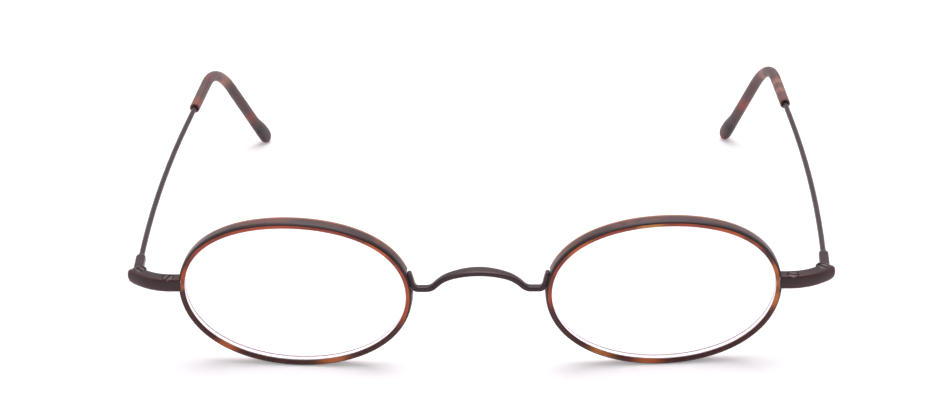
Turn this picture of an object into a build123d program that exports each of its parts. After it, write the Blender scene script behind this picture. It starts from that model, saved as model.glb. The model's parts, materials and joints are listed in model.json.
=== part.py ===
from build123d import *

# Oval wire eyeglasses with thin plastic rim covers, a saddle bridge and hinged wire temples.
# The glasses are drawn as they are worn: +X to the wearer's left, +Y towards the ears, +Z up, with the
# origin midway between the two lens centres. At the end they are stood on a table, on the bottoms of the
# rims and on the two ear tips, with the origin on the table under the middle of the whole object.
# All lengths are in millimetres and all angles in degrees.

import os
from math import asin, atan2, cos, degrees, pi, radians, sin, sqrt

os.makedirs("parts", exist_ok=True)

# Lenses
lens_width = 44.0
lens_height_above = 14.95
lens_height_below = 15.15
nose_distance = 27.0
fullness_share = 0.0095
face_wrap = 4.1
base_curve_radius = 136.0
lens_thickness = 1.6
bevel_height = 0.5
bevel_tip = 0.16
bevel_side = (lens_thickness - bevel_tip) / 2

# Eyewires, measured outwards from the lens's edge
eyewire_outside = 0.40
eyewire_inside = 0.34
eyewire_depth = 2.06
groove_clearance = 0.08
groove_half_width = bevel_tip / 2 + (eyewire_inside + groove_clearance) * bevel_side / bevel_height
split_gap = 0.16

# Rim covers
cover_wall = 0.30
cover_lip = 0.45
cover_overlap = 0.48
cover_corner = 0.42
cover_lip_bevel = 0.22
notch_clearance = 0.12
cover_fit = 0.02

# Bridge
bridge_thickness = 1.0
bridge_crest_height = 4.62
bridge_crest_radius = 16.0
bridge_crest_angle = 20.0
bridge_shoulder_radius = 7.0
bridge_side_angle = 44.0
bridge_dip_height = 0.95
bridge_dip_radius = 1.4
bridge_crest_depth = 2.6
bridge_dip_depth = 1.5
bridge_edge_round = 0.28
bridge_knee_radius = 0.95
bridge_knee_angle = 75.0
foot_thickness = 0.95
foot_depth = 1.8
foot_height_above = 4.55
foot_height_below = 1.45
foot_round = 0.4

# Endpieces, placed from the middle of the rim's temple side
endpiece_lead = 1.13
endpiece_depth = 2.4
endpiece_height = 2.75
endpiece_middle = 0.52
endpiece_straight = 2.0
endpiece_outer_radius = 11.5
endpiece_turn = 48.0
endpiece_corner_round = 1.0
endpiece_edge_round = 0.28

# Closing blocks and their screws
block_front_wall = 0.5
block_length = 4.2
block_clearance = 0.04
closing_screw_reach = 2.7
closing_screw_head = 2.0
closing_screw_head_height = 0.5
closing_screw_shank = 1.0
closing_screw_length = 2.1
closing_slot_turn = 35.0

# Hinges
hinge_reach = 8.7
hinge_setback = 4.42
ear_radius = 1.4
ear_edge_round = 0.3
knob_radius = 1.3
knob_reach = 1.15
knob_setback = 0.25
knob_edge_round = 0.75
eye_radius = 1.2
eye_thickness = 0.9
slot_height = 1.0
slot_clearance = 0.1
hinge_screw_head = 1.9
hinge_screw_head_height = 0.4
hinge_screw_shank = 1.0
hinge_screw_length = 2.2
hinge_slot_turn = 20.0
pin_clearance = 0.03
head_clearance = 0.06
screw_slot_width = 0.3
screw_slot_depth = 0.22

# Hinge leaves
leaf_offset = 0.53
leaf_width = 1.86
leaf_height = 1.6
leaf_start = 1.75
leaf_length = 5.8
leaf_shoulder = 0.8
leaf_neck_width = 1.4
leaf_edge_round = 0.4
leaf_neck_round = 0.6
solder_depth = 4.0

# Temples
wire_diameter = 1.1
wire_heading = 2.2
wire_bow_angle = 7.0
wire_bow_radius = 475.0
ear_corner_distance = 96.9
ear_drop_angle = 59.2
ear_inward_angle = 15.0
ear_leg_length = 33.8
ear_bend_radius = 17.0
solder_clearance = 0.02

# Ear tips
tip_length_before_corner = 22.6
collar_width = 2.2
collar_mouth = 1.65
collar_mouth_depth = 0.8
tip_leg_width = 2.45
tip_bulb_width = 3.7
tip_bulb_thickness = 2.9
tip_swell_length = 7.2
tip_cap_length = 2.7
tip_wire_cover = 6.0
tip_fit = 0.03
swell_shares = (0.0, 0.25, 0.5, 0.8)
swell_power = 1.5
cap_shares = (0.0, 0.5, 0.78, 0.93, 0.99)

# One overrun serves every cut
overrun = 1.0

lens_centre_across = (lens_width + nose_distance) / 2
lens_plane = Plane(
    origin=(lens_centre_across, 0, 0),
    x_dir=(cos(radians(face_wrap)), sin(radians(face_wrap)), 0),
    z_dir=(sin(radians(face_wrap)), -cos(radians(face_wrap)), 0),
)
cover_depth = eyewire_depth + 2 * cover_fit + 2 * cover_lip
cover_outside = eyewire_outside + cover_fit + cover_wall
endpiece_top = endpiece_middle + endpiece_height / 2
endpiece_bottom = endpiece_middle - endpiece_height / 2
split_turn = asin(endpiece_middle / lens_height_above)
rim_steps = 24
rim_side_across = lens_centre_across + lens_width / 2


def rim_point(turn, outside=0.0, forward=0.0):
    """A point of the lens outline: turn 0 is at the temple and a quarter turn is at the top."""
    height = lens_height_above if sin(turn) > 0 else lens_height_below
    across = (lens_width / 2 + outside) * ((1 + fullness_share) * cos(turn) - fullness_share * cos(3 * turn))
    up = (height + outside) * ((1 + fullness_share) * sin(turn) + fullness_share * sin(3 * turn))
    back = base_curve_radius - sqrt(base_curve_radius**2 - across**2 - up**2)
    return lens_plane.from_local_coords(Vector(across, up, forward - back))


def flat_rim_point(turn, outside):
    """The same outline without the lens's curve, in the lens plane's own coordinates."""
    place = lens_plane.to_local_coords(rim_point(turn, outside))
    return (place.X, place.Y)


def open_turns():
    """Turns from one side of the eyewire's split, once round the lens, to its other side."""
    half_gap = split_gap / 2 / lens_height_above
    first = split_turn + half_gap
    last = split_turn + 2 * pi - half_gap
    return [first + (last - first) * step / rim_steps for step in range(rim_steps + 1)]


def rim_route(forward=0.0):
    """The open line round the lens that the eyewire and its cover follow."""
    with BuildLine() as route:
        Spline([rim_point(turn, forward=forward) for turn in open_turns()])
    return route.line


def section_plane(route):
    """Plane across the start of a rim: its X points away from the lens and its Y points back."""
    tangent = route % 0
    outward = lens_plane.z_dir.cross(tangent) * -1
    return Plane(origin=route @ 0, x_dir=outward, z_dir=tangent)


def oval_sketch(outside):
    """A flat oval in the lens plane, larger than the lens by a given distance."""
    with BuildSketch(lens_plane) as oval:
        with BuildLine():
            turns = [2 * pi * step / rim_steps for step in range(rim_steps)]
            Spline([flat_rim_point(turn, outside) for turn in turns], periodic=True)
        make_face()
    return oval.sketch


def oval_prism(outside):
    """A block with an oval outline that runs right through the frame's front."""
    with BuildPart() as prism:
        extrude(oval_sketch(outside), amount=lens_width, both=True)
    return prism.part


def rim_notch(side, low, high, front):
    """The space to clear in a rim cover's wall, outside its lips' roots and behind a given depth."""
    centre = (side * lens_width / 2, (low + high) / 2)
    with BuildPart() as notch:
        with BuildSketch(lens_plane.offset(front)):
            with Locations(centre):
                Rectangle(lens_width, high - low)
        extrude(amount=-lens_width)
        add(oval_prism(notch_root), mode=Mode.SUBTRACT)
    return notch.part


def slotted_screw(top, head_diameter, head_height, shank_diameter, shank_length, slot_turn):
    """A cheese-head screw that hangs below the given plane."""
    with BuildPart() as screw:
        with BuildSketch(top):
            Circle(head_diameter / 2)
        extrude(amount=-head_height)
        with BuildSketch(top.offset(-head_height)):
            Circle(shank_diameter / 2)
        extrude(amount=-shank_length)
        with BuildSketch(top.rotated((0, 0, slot_turn))):
            Rectangle(head_diameter + overrun, screw_slot_width)
        extrude(amount=-screw_slot_depth, mode=Mode.SUBTRACT)
    return screw


endpiece_front = rim_point(split_turn).Y - endpiece_lead
bar_centre = (rim_side_across + endpiece_straight, endpiece_front + endpiece_outer_radius)
bar_inner_radius = endpiece_outer_radius - endpiece_depth
hinge_place = (rim_side_across + hinge_reach, endpiece_front + hinge_setback)
knob_place = (hinge_place[0] + knob_reach, hinge_place[1] + knob_setback)
closing_place = (rim_side_across + closing_screw_reach, endpiece_front + endpiece_depth / 2)
notch_root = eyewire_outside / 2
rim_line = rim_route()
rim_guide = rim_route(forward=lens_thickness)
nose_rim_depth = lens_plane.to_local_coords(rim_point(pi)).Z

# Eyewire: a metal channel with a V groove for the lens, split where the closing screw joins it
with BuildPart() as eyewire:
    with BuildSketch(section_plane(rim_line)):
        with BuildLine():
            Polyline(
                (-eyewire_inside, -eyewire_depth / 2),
                (eyewire_outside, -eyewire_depth / 2),
                (eyewire_outside, eyewire_depth / 2),
                (-eyewire_inside, eyewire_depth / 2),
                (-eyewire_inside, groove_half_width),
                (groove_clearance, bevel_tip / 2),
                (groove_clearance, -bevel_tip / 2),
                (-eyewire_inside, -groove_half_width),
                close=True,
            )
        make_face()
    sweep(path=rim_line, binormal=rim_guide)

# Rim cover: a thin plastic channel snapped over the eyewire, notched where metal reaches the eyewire
with BuildPart() as rim_cover:
    with BuildSketch(section_plane(rim_line)) as cover_section:
        with Locations(((cover_outside - cover_overlap) / 2, 0)):
            Rectangle(cover_outside + cover_overlap, cover_depth)
        fillet(cover_section.vertices().group_by(Axis.X)[-1], cover_corner)
        chamfer(cover_section.vertices().group_by(Axis.X)[0], cover_lip_bevel)
        channel_bottom = eyewire_outside + cover_fit
        with Locations((channel_bottom, 0)):
            Rectangle(
                lens_width,
                eyewire_depth + 2 * cover_fit,
                align=(Align.MAX, Align.CENTER),
                mode=Mode.SUBTRACT,
            )
    sweep(path=rim_line, binormal=rim_guide)
    add(
        rim_notch(1, endpiece_bottom - notch_clearance, endpiece_top + notch_clearance, lens_width / 2),
        mode=Mode.SUBTRACT,
    )
    add(
        rim_notch(
            -1,
            bridge_dip_height - bridge_thickness / 2 - notch_clearance,
            foot_height_above + notch_clearance,
            nose_rim_depth + eyewire_depth / 2 + cover_fit,
        ),
        mode=Mode.SUBTRACT,
    )

# Lens: a meniscus between two spheres, with a V bevel round its edge that sits in the groove
lens_front_centre = lens_plane.from_local_coords(Vector(0, 0, lens_thickness / 2 - base_curve_radius))
with BuildPart() as lens:
    extrude(oval_sketch(0), amount=lens_width / 2, both=True)
    with Locations(lens_front_centre):
        Sphere(base_curve_radius, mode=Mode.INTERSECT)
        Sphere(base_curve_radius - lens_thickness, mode=Mode.SUBTRACT)
    chamfer(lens.edges().filter_by(lambda edge: edge.length > lens_width), bevel_side, bevel_height)

# The endpiece's bar seen from above: straight beside the lens, then swept back to the hinge
with BuildSketch() as bar_plan:
    with BuildLine():
        front = Line((lens_centre_across, endpiece_front), (bar_centre[0], endpiece_front))
        sweep_back = CenterArc(bar_centre, endpiece_outer_radius, -90, endpiece_turn)
        inner_curve = CenterArc(bar_centre, bar_inner_radius, -90, endpiece_turn)
        Line(sweep_back @ 1, inner_curve @ 1)
        back = Line(inner_curve @ 0, (lens_centre_across, endpiece_front + endpiece_depth))
        Line(back @ 1, front @ 0)
    make_face()
    fillet(bar_plan.vertices().sort_by(Axis.X)[-1], endpiece_corner_round)

step_front = endpiece_front + block_front_wall
step_size = (lens_width / 2 + block_length, endpiece_depth + overrun)


def rounded_post(place, radius, edge_round):
    """A round post as tall as the endpiece, with its edges rounded over."""
    with BuildPart() as post:
        with Locations((*place, endpiece_middle)):
            Cylinder(radius, endpiece_height)
        fillet(post.edges().filter_by(GeomType.CIRCLE), edge_round)
    return post.part


# Endpiece: stepped underneath for the closing block, with a knob-shaped end slotted for the hinge leaf
with BuildPart() as endpiece:
    with BuildSketch(Plane.XY.offset(endpiece_bottom)):
        add(bar_plan.sketch)
    extrude(amount=endpiece_height)
    curves = endpiece.edges().filter_by(GeomType.CIRCLE)
    outer_curves = curves.filter_by(lambda edge: abs(edge.radius - bar_inner_radius) > endpiece_edge_round)
    fillet(outer_curves + endpiece.edges().filter_by(Axis.X).group_by(Axis.Y)[0], endpiece_edge_round)
    add(rounded_post(hinge_place, ear_radius, ear_edge_round))
    add(rounded_post(knob_place, knob_radius, knob_edge_round))
    with BuildSketch(Plane.XY.offset(endpiece_middle + split_gap / 2)):
        with Locations((lens_centre_across, step_front)):
            Rectangle(*step_size, align=(Align.MIN, Align.MIN))
    extrude(amount=-endpiece_height, mode=Mode.SUBTRACT)
    with BuildSketch(Plane.XY.offset(endpiece_middle - slot_height / 2)):
        with Locations(hinge_place):
            Circle(eye_radius + slot_clearance)
            with Locations((eye_radius + slot_clearance, 0)):
                Rectangle(endpiece_outer_radius, endpiece_outer_radius, align=(Align.MAX, Align.MIN))
            with Locations((0, -eye_radius - slot_clearance)):
                Rectangle(endpiece_outer_radius, endpiece_outer_radius, align=(Align.MAX, Align.MIN))
    extrude(amount=slot_height, mode=Mode.SUBTRACT)
    with Locations(Plane.XY.offset(endpiece_top)):
        with Locations(hinge_place):
            CounterBoreHole(
                hinge_screw_shank / 2 + pin_clearance,
                hinge_screw_head / 2 + head_clearance,
                hinge_screw_head_height + head_clearance,
            )
        with Locations(closing_place):
            CounterBoreHole(
                closing_screw_shank / 2 + pin_clearance,
                closing_screw_head / 2 + head_clearance,
                closing_screw_head_height + head_clearance,
            )
    add(oval_prism(eyewire_outside + solder_clearance), mode=Mode.SUBTRACT)

# Closing block: the lower half of the joint, which the screw pulls up towards the endpiece
with BuildPart() as closing_block:
    with BuildSketch(Plane.XY.offset(endpiece_bottom)):
        add(bar_plan.sketch)
        with Locations((lens_centre_across, step_front + block_clearance)):
            Rectangle(
                step_size[0] - block_clearance,
                step_size[1],
                align=(Align.MIN, Align.MIN),
                mode=Mode.INTERSECT,
            )
    extrude(amount=(endpiece_height - split_gap) / 2)
    with Locations(Plane.XY.offset(endpiece_middle)):
        with Locations(closing_place):
            Hole(closing_screw_shank / 2 + pin_clearance)
    add(oval_prism(eyewire_outside + solder_clearance), mode=Mode.SUBTRACT)

screw_top = endpiece_top - head_clearance
closing_screw = slotted_screw(
    Plane(origin=(*closing_place, screw_top)),
    closing_screw_head,
    closing_screw_head_height,
    closing_screw_shank,
    closing_screw_length,
    closing_slot_turn,
)
hinge_screw = slotted_screw(
    Plane(origin=(*hinge_place, screw_top)),
    hinge_screw_head,
    hinge_screw_head_height,
    hinge_screw_shank,
    hinge_screw_length,
    hinge_slot_turn,
)

# Hinge leaf: a flat eye and tongue that turn in the slot, and a solid end that grips the wire
leaf_plane = Plane(origin=(*hinge_place, endpiece_middle)).rotated((0, 0, -wire_heading))
body_section = Plane(
    origin=leaf_plane.from_local_coords(Vector(leaf_offset, leaf_start, 0)),
    x_dir=leaf_plane.x_dir * -1,
    z_dir=leaf_plane.y_dir,
)
with BuildPart() as temple_hinge:
    with BuildSketch(leaf_plane.offset(-eye_thickness / 2)):
        Circle(eye_radius)
        with Locations((leaf_offset - leaf_width / 2, 0)):
            tongue_width = eye_radius - leaf_offset + leaf_width / 2
            Rectangle(tongue_width, leaf_start + overrun, align=(Align.MIN, Align.MIN))
    extrude(amount=eye_thickness)
    with BuildSketch(body_section):
        RectangleRounded(leaf_width, leaf_height, leaf_edge_round)
    extrude(amount=leaf_length - leaf_shoulder)
    with BuildSketch(body_section.offset(leaf_length - leaf_shoulder)) as shoulder_start:
        RectangleRounded(leaf_width, leaf_height, leaf_edge_round)
    with BuildSketch(body_section.offset(leaf_length)) as shoulder_end:
        RectangleRounded(leaf_neck_width, leaf_neck_width, leaf_neck_round)
    loft()
    with Locations(leaf_plane.offset(eye_thickness / 2)):
        Hole(hinge_screw_shank / 2 + pin_clearance)
    with BuildSketch(body_section.offset(leaf_length)):
        Circle(wire_diameter / 2 + solder_clearance)
    extrude(amount=-solder_depth, mode=Mode.SUBTRACT)

# Bridge: one bent strip, wide at the crest and narrow at the dips, with a foot for each eyewire
bridge_plane = Plane(origin=(0, rim_point(pi).Y, 0))
foot_middle = rim_point(pi, outside=eyewire_outside + foot_thickness / 2).X
side_turn = radians(bridge_side_angle)
with BuildPart() as bridge:
    with BuildSketch(bridge_plane.rotated((90, 0, 0))):
        with BuildLine():
            crest = JernArc((0, bridge_crest_height), (1, 0), bridge_crest_radius, -bridge_crest_angle)
            bend_angle = bridge_side_angle - bridge_crest_angle
            bend = JernArc(crest @ 1, crest % 1, bridge_shoulder_radius, -bend_angle)
            side_drop = (bend @ 1).Y - bridge_dip_height - bridge_dip_radius * (1 - cos(side_turn))
            side = PolarLine(bend @ 1, side_drop / sin(side_turn), direction=bend % 1)
            dip = JernArc(side @ 1, side % 1, bridge_dip_radius, bridge_side_angle)
            dip_across = (dip @ 1).X
            arm = Line(dip @ 1, (foot_middle - bridge_knee_radius, bridge_dip_height))
            knee = JernArc(arm @ 1, (1, 0), bridge_knee_radius, bridge_knee_angle)
            Line(knee @ 1, knee @ 1 + (knee % 1) * foot_thickness)
            mirror(about=Plane.YZ)
            offset(amount=bridge_thickness / 2, side=Side.BOTH)
        make_face()
    extrude(amount=bridge_crest_depth, both=True)
    with BuildSketch(bridge_plane):
        with BuildLine():
            dip_place = (dip_across, bridge_dip_depth / 2)
            waist = Spline((0, bridge_crest_depth / 2), dip_place, tangents=((1, 0), (1, 0)))
            border = Line(waist @ 1, (foot_middle + bridge_thickness, bridge_dip_depth / 2))
            Line(border @ 1, (foot_middle + bridge_thickness, 0))
            mirror(about=Plane.XZ)
            mirror(about=Plane.YZ)
        make_face()
    extrude(amount=bridge_crest_height + bridge_thickness, mode=Mode.INTERSECT)
    fillet(bridge.edges().filter_by(Axis.Y, reverse=True), bridge_edge_round)
    eyewire_space = oval_prism(eyewire_outside + solder_clearance)
    add(eyewire_space, mode=Mode.SUBTRACT)
    add(mirror(eyewire_space, about=Plane.YZ, mode=Mode.PRIVATE), mode=Mode.SUBTRACT)
    foot_centre = (-lens_width / 2, (foot_height_above + foot_height_below) / 2)
    with BuildPart(mode=Mode.PRIVATE) as foot:
        with BuildSketch(lens_plane.offset(nose_rim_depth)):
            with Locations(foot_centre):
                Rectangle(lens_width, foot_height_above - foot_height_below)
        extrude(amount=foot_depth / 2, both=True)
        add(oval_prism(eyewire_outside + solder_clearance + foot_thickness), mode=Mode.INTERSECT)
        add(eyewire_space, mode=Mode.SUBTRACT)
        depth_edges = foot.edges().filter_by(
            lambda edge: abs((edge @ 1 - edge @ 0).dot(lens_plane.z_dir)) > foot_depth / 2
        )
        fillet(depth_edges.sort_by(Axis.Z)[-2:].sort_by(Axis.X)[0], foot_round)
    add(foot)
    mirror(foot.part, about=Plane.YZ)

# The temple's line: a slight bow from the leaf, then a bend down behind the ear
with BuildLine(Plane.XY.offset(endpiece_middle)) as bow:
    JernArc(body_section.offset(leaf_length).origin, leaf_plane.y_dir, wire_bow_radius, wire_bow_angle)
bow_end = bow.line @ 1
bow_direction = bow.line % 1
ear_corner_along = hinge_place[1] + ear_corner_distance
ear_corner = bow_end + bow_direction * ((ear_corner_along - bow_end.Y) / bow_direction.Y)
leg_direction = Vector(
    -sin(radians(ear_inward_angle)),
    cos(radians(ear_inward_angle)) * cos(radians(ear_drop_angle)),
    -cos(radians(ear_inward_angle)) * sin(radians(ear_drop_angle)),
)
bend_axis = bow_direction.cross(leg_direction).normalized()


def ear_route(start, leg_length):
    """The bent line behind the ear, from a point on the straight part down a given length of leg."""
    with BuildLine() as route:
        FilletPolyline(start, ear_corner, ear_corner + leg_direction * leg_length, radius=ear_bend_radius)
    return route.wire()


def across_plane(route, distance):
    """Plane across the ear route, its X in the plane of the bend."""
    here = route.position_at(distance, position_mode=PositionMode.LENGTH)
    ahead = route.tangent_at(distance, position_mode=PositionMode.LENGTH)
    return Plane(origin=here, x_dir=bend_axis.cross(ahead), z_dir=ahead)


# Temple: one round wire from its soldered end in the leaf to its hidden end in the ear tip
with BuildPart() as temple:
    with BuildLine() as wire:
        add(Line(body_section.offset(leaf_length - solder_depth + tip_fit).origin, bow.line @ 0))
        add(bow.line)
        add(ear_route(bow_end, ear_leg_length - tip_wire_cover))
    with BuildSketch(Plane(origin=wire.line @ 0, z_dir=wire.line % 0)):
        Circle(wire_diameter / 2)
    sweep(path=wire.line)

# Ear tip: a bored sleeve that grows along its length and ends in a bulb that swells to the back
tip_start = ear_corner - bow_direction * tip_length_before_corner
neck_route = ear_route(tip_start, ear_leg_length - tip_swell_length - tip_cap_length)
with BuildPart() as temple_tip:
    with BuildSketch(across_plane(neck_route, 0)):
        Circle(collar_width / 2)
    with BuildSketch(across_plane(neck_route, neck_route.length)):
        Circle(tip_leg_width / 2)
    sweep(path=neck_route, multisection=True)
    with BuildPart(mode=Mode.PRIVATE) as bulb:
        bulb_plane = across_plane(neck_route, neck_route.length)
        for share in swell_shares:
            growth = sin(share * pi / 2) ** swell_power
            width = tip_leg_width + growth * (tip_bulb_width - tip_leg_width)
            thickness = tip_leg_width + growth * (tip_bulb_thickness - tip_leg_width)
            with BuildSketch(bulb_plane.offset(share * tip_swell_length)):
                with Locations(((tip_leg_width - width) / 2, 0)):
                    Ellipse(width / 2, thickness / 2)
        for share in cap_shares:
            roundness = sqrt(1 - share**2)
            with BuildSketch(bulb_plane.offset(tip_swell_length + share * tip_cap_length)):
                with Locations(((tip_leg_width - tip_bulb_width) / 2, 0)):
                    Ellipse(roundness * tip_bulb_width / 2, roundness * tip_bulb_thickness / 2)
        loft()
    add(bulb)
    with BuildSketch(across_plane(neck_route, 0)):
        Circle(collar_mouth / 2)
    extrude(amount=collar_mouth_depth, mode=Mode.SUBTRACT)
    bore_route = ear_route(tip_start, ear_leg_length - tip_wire_cover + tip_fit)
    with BuildSketch(across_plane(bore_route, 0)):
        Circle(wire_diameter / 2 + tip_fit)
    sweep(path=bore_route, mode=Mode.SUBTRACT)

# Stand the glasses on the table: tilt until the rims and the ear tips are equally low
stand_tilt = 0.0
stand_passes = 4
for _ in range(stand_passes):
    tilt = Rotation(stand_tilt, 0, 0)
    front_box = (tilt * rim_cover.part).bounding_box()
    tip_box = (tilt * temple_tip.part).bounding_box()
    stand_tilt += degrees(atan2(front_box.min.Z - tip_box.min.Z, tip_box.max.Y - front_box.min.Y))
front_pieces = (rim_cover.part, endpiece.part, bridge.part)
front_edge = min((tilt * piece).bounding_box().min.Y for piece in front_pieces)
stand = Pos(0, -(front_edge + tip_box.max.Y) / 2, -front_box.min.Z) * tilt


def save(piece, name):
    """Stand one piece on the table, name it and write its file."""
    with BuildPart() as placed:
        add(stand * piece)
    placed.part.label = name
    export_step(placed.part, f"parts/{name}.step")


pairs = {
    "eyewire": eyewire,
    "rim_cover": rim_cover,
    "lens": lens,
    "endpiece": endpiece,
    "closing_block": closing_block,
    "closing_screw": closing_screw,
    "temple_hinge": temple_hinge,
    "hinge_screw": hinge_screw,
    "temple": temple,
    "temple_tip": temple_tip,
}
for name, piece in pairs.items():
    save(piece.part, f"left_{name}")
    save(mirror(piece.part, about=Plane.YZ), f"right_{name}")
save(bridge.part, "bridge")

hinge_middle = stand * Pos(*hinge_place, endpiece_middle)
print("stand tilt:", round(stand_tilt, 3), "hinge centre:", hinge_middle.position)
for name, piece in pairs.items():
    size = piece.part.bounding_box().size
    print(name, "volume:", round(piece.part.volume, 2), "size:", size)
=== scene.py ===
# %% [markdown]
# Oval wire eyeglasses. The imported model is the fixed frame: every metal and plastic part is already there,
# in metres, standing on the table at z = 0 with +X to the wearer's left and +Y towards the ear tips. This
# file adds the camera, the light and the finishes, and rebuilds the parts whose smooth skin matters most.

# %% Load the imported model
import json

import bmesh
import bpy
import numpy as np
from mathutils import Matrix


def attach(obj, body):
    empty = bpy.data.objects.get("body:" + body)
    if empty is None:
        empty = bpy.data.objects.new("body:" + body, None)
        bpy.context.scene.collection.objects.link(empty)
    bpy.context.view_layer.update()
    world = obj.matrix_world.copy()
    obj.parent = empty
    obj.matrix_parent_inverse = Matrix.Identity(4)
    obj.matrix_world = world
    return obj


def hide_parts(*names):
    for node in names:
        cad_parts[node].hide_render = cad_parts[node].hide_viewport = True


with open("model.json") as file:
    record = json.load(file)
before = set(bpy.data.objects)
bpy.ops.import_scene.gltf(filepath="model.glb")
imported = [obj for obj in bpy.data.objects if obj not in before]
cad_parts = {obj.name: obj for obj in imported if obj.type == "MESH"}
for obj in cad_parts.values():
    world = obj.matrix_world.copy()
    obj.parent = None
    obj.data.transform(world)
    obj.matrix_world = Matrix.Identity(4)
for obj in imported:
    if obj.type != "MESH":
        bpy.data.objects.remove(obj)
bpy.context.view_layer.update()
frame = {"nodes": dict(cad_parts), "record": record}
nodes = frame["nodes"]

# %% [markdown]
# The camera is a long lens about half a metre away, looking down on the glasses a little from their left.
# Its place and turn come from matching the rims, the screws and the ear tips of the model to the photograph.
# An object's matrix holds its three axes and its place as columns, so those four are enough to aim it.

# %% Camera
MM = 0.001
IMAGE_WIDTH = 950
SENSOR_WIDTH = 36.0
CAMERA_PLACE = np.array([16.33, -499.22, 216.37]) * MM
CAMERA_YAW = np.radians(-2.181)
CAMERA_PITCH = np.radians(22.495)
CAMERA_ROLL = np.radians(-1.190)
CAMERA_FOCUS_PIXELS = 2517.5


def camera_axes(yaw, pitch, roll):
    """Right, up and back directions of a camera turned by yaw, tipped down by pitch, then rolled."""
    forward = np.array([np.sin(yaw) * np.cos(pitch), np.cos(yaw) * np.cos(pitch), -np.sin(pitch)])
    level = np.array([np.cos(yaw), -np.sin(yaw), 0.0])
    upright = np.cross(level, forward)
    right = np.cos(roll) * level + np.sin(roll) * upright
    up = np.cos(roll) * upright - np.sin(roll) * level
    return right, up, -forward


def linked(name, data):
    """A new object that shows this data, linked into the scene."""
    item = bpy.data.objects.new(name, data)
    bpy.context.scene.collection.objects.link(item)
    return item


def aim(item, right, up, back, place):
    """Turn an object to these axes and put it at this place."""
    matrix = np.eye(4)
    matrix[:3] = np.stack([right, up, back, place], axis=-1)
    item.matrix_world = matrix.T.tolist()


camera_data = bpy.data.cameras.new("camera")
camera_data.sensor_width = SENSOR_WIDTH
camera_data.lens = CAMERA_FOCUS_PIXELS * SENSOR_WIDTH / IMAGE_WIDTH
camera_data.clip_start = 10 * MM
camera = linked("camera", camera_data)
aim(camera, *camera_axes(CAMERA_YAW, CAMERA_PITCH, CAMERA_ROLL), CAMERA_PLACE)
bpy.context.scene.camera = camera
print("lens in mm:", round(camera_data.lens, 1))

# %% [markdown]
# Product photographs on white are lit by big soft boxes, so a metal edge shows a broad pale band instead of
# a point of light. Area lamps do the same here. The world is a plain grey that fills the shadows. Light Path
# tells the rays apart, so the camera, and what is seen in glass or metal, get white instead of that grey.

# %% Light
def area_lamp(name, place, size, watts):
    """A square lamp that looks at the middle of the glasses."""
    data = bpy.data.lights.new(name, "AREA")
    data.energy = watts
    data.size = size
    back = np.array(place) / np.linalg.norm(place)
    right = np.cross([0.0, 0.0, 1.0], back)
    right /= np.linalg.norm(right)
    aim(linked(name, data), right, np.cross(back, right), back, place)


area_lamp("overhead lamp", (0.05, 0.10, 0.80), 0.8, 6.0)
area_lamp("front lamp", (-0.35, -0.70, 0.45), 0.5, 1.2)


def set_inputs(tree, node, inputs):
    """Link each of a node's inputs to a socket, or set it to a number or an opaque colour."""
    for key, source in inputs.items():
        if isinstance(source, bpy.types.NodeSocket):
            tree.links.new(source, node.inputs[key])
        elif isinstance(source, tuple):
            node.inputs[key].default_value = (*source, 1.0)
        else:
            node.inputs[key].default_value = source


def new_node(tree, kind, inputs):
    """A new node of a kind, with its inputs linked or set."""
    node = tree.nodes.new(kind)
    set_inputs(tree, node, inputs)
    return node


def seen_or_lit(tree, lit, seen):
    """The first shader for the light on the object; the second for the camera, and in metal or glass."""
    rays = tree.nodes.new("ShaderNodeLightPath")
    either = rays.outputs["Is Camera Ray"]
    for kind in ("Is Glossy Ray", "Is Transmission Ray"):
        larger = new_node(tree, "ShaderNodeMath", {0: either, 1: rays.outputs[kind]})
        larger.operation = "MAXIMUM"
        either = larger.outputs[0]
    return new_node(tree, "ShaderNodeMixShader", {0: either, 1: lit, 2: seen}).outputs[0]


world = bpy.data.worlds.new("studio")
bpy.context.scene.world = world
world.use_nodes = True
tree = world.node_tree
fill = tree.nodes["Background"]
set_inputs(tree, fill, {"Color": (0.80, 0.80, 0.80), "Strength": 0.45})
white = new_node(tree, "ShaderNodeBackground", {"Color": (1.0, 1.0, 1.0), "Strength": 1.0})
sky = seen_or_lit(tree, fill.outputs[0], white.outputs[0])
set_inputs(tree, tree.nodes["World Output"], {"Surface": sky})
bpy.context.scene.view_settings.view_transform = "Standard"
print("lamps:", [lamp.name for lamp in bpy.data.lights], "world:", world.name)

# %% [markdown]
# The floor is one big sheet. It is about white under the lamps. Where the camera sees it, straight on or in
# metal or glass, a small glow is added that grows away from the glasses, so that the sheet shows white right
# out to its edge while the soft contact shadows stay.

# %% Floor
FLOOR_HALF = 3.0
GLOW_FROM, GLOW_TO = 0.15, 0.70
GLOW_NEAR, GLOW_FAR = 0.27, 0.70


def blank_finish(name):
    """A new material with its node tree and its Principled node."""
    finish = bpy.data.materials.new(name)
    finish.use_nodes = True
    return finish, finish.node_tree, finish.node_tree.nodes["Principled BSDF"]


def flat_sheet(name, corners, finish):
    """A sheet through four corners, with its finish."""
    mesh = bpy.data.meshes.new(name)
    mesh.from_pydata(corners, [], [(0, 1, 2, 3)])
    mesh.materials.append(finish)
    return linked(name, mesh)


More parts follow.
